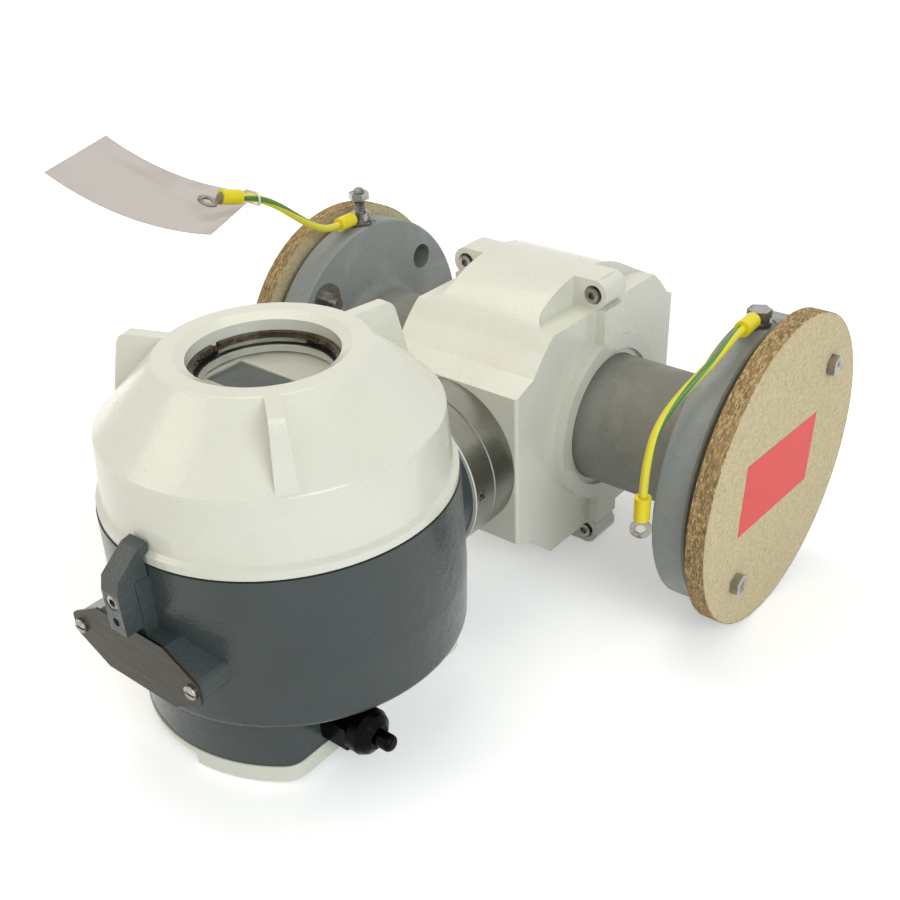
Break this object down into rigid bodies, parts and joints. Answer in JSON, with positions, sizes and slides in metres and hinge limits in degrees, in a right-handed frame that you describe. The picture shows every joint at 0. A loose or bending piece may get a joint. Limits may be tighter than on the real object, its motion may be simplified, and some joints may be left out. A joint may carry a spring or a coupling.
{
  "type": "electromagnetic flow meter",
  "caption": "Flanged electromagnetic flow meter: white sensor housing on a pipe, grey field transmitter with screw cover on a turning neck, transport discs and earth leads.",
  "frame": {"origin": "centre of the measuring bore, on the pipe's axis halfway between the two flanges", "axes": "+X along the pipe towards the flange with the red notice; -Y along the neck to the transmitter; +Z the way the display faces"},
  "size_m": [0.4809, 0.4696, 0.2724],
  "materials": {
    "white_paint": "gloss",
    "grey_paint": "gloss",
    "flange_paint": "satin",
    "stainless": "brushed",
    "bright_steel": "satin",
    "dark_metal": "satin",
    "liner_polymer": "satin",
    "copper_winding": "matte",
    "white_seal": "matte",
    "blank_plate": "satin",
    "window_glass": "gloss",
    "black_rubber": "matte",
    "panel_plastic": "satin",
    "lcd_glass": "gloss",
    "black_plastic": "gloss",
    "chipboard": "matte",
    "red_film": "satin",
    "earth_insulation": "satin",
    "yellow_sleeve": "satin",
    "clear_film": "gloss",
    "white_cord": "matte"
  },
  "bodies": {
    "sensor": {"measuring_tube": "flange_paint", "near_flange": "flange_paint", "far_flange": "flange_paint", "liner": "liner_polymer", "electrodes": "bright_steel", "neck_side_coil": "copper_winding", "rear_side_coil": "copper_winding", "front_housing_shell": "white_paint", "rear_housing_shell": "white_paint", "housing_screws": "bright_steel", "neck_base_ring": "stainless", "near_disc": "chipboard", "far_disc": "chipboard", "disc_bolts": "bright_steel", "disc_washers": "bright_steel", "disc_nuts": "bright_steel", "red_notice": "red_film", "near_earth_washer": "bright_steel", "near_spring_washer": "bright_steel", "near_earth_bolt": "bright_steel", "far_earth_washer": "bright_steel", "far_earth_stud": "bright_steel", "far_earth_nuts": "bright_steel", "near_earth_lead": "earth_insulation", "near_terminal_lug": "bright_steel", "near_terminal_sleeve": "yellow_sleeve", "near_free_lug": "bright_steel", "near_free_sleeve": "yellow_sleeve", "far_earth_lead": "earth_insulation", "far_terminal_lug": "bright_steel", "far_terminal_sleeve": "yellow_sleeve", "far_free_lug": "bright_steel", "far_free_sleeve": "yellow_sleeve", "film_tag": "clear_film", "tag_tie": "white_cord"},
    "transmitter": {"transmitter_housing": "grey_paint", "neck_collar": "stainless", "neck_gasket": "white_seal", "neck_grub_screw": "bright_steel", "info_plate": "blank_plate", "plate_screws": "bright_steel", "back_cover": "white_paint", "back_cover_screws": "bright_steel", "gland_body": "black_plastic", "gland_cap_nut": "black_plastic", "gland_plug": "black_plastic", "blanking_plug": "black_plastic", "entry_seals": "black_rubber", "electronics_insert": "panel_plastic", "display_panel": "panel_plastic", "display_glass": "lcd_glass", "terminal_block": "black_plastic"},
    "cover": {"screw_cover": "white_paint", "cover_rim": "white_paint", "window_glass": "window_glass", "window_retaining_ring": "dark_metal", "cover_gasket": "black_rubber"},
    "claw": {"cover_claw": "grey_paint", "claw_screw": "bright_steel"}
  },
  "joints": [
    {"name": "neck_turn", "type": "hinge", "parent": "sensor", "child": "transmitter", "pos_m": [0, -0.121, 0], "axis": [0, 1, 0], "range_deg": [-90, 90]},
    {"name": "cover_turn", "type": "hinge", "parent": "transmitter", "child": "cover", "pos_m": [0, -0.2468, 0.08], "axis": [0, 0, 1], "range_deg": [0, 1440]},
    {"name": "claw_release", "type": "slide", "parent": "transmitter", "child": "claw", "axis": [0, -1, 0], "range_m": [0, 0.01]}
  ]
}
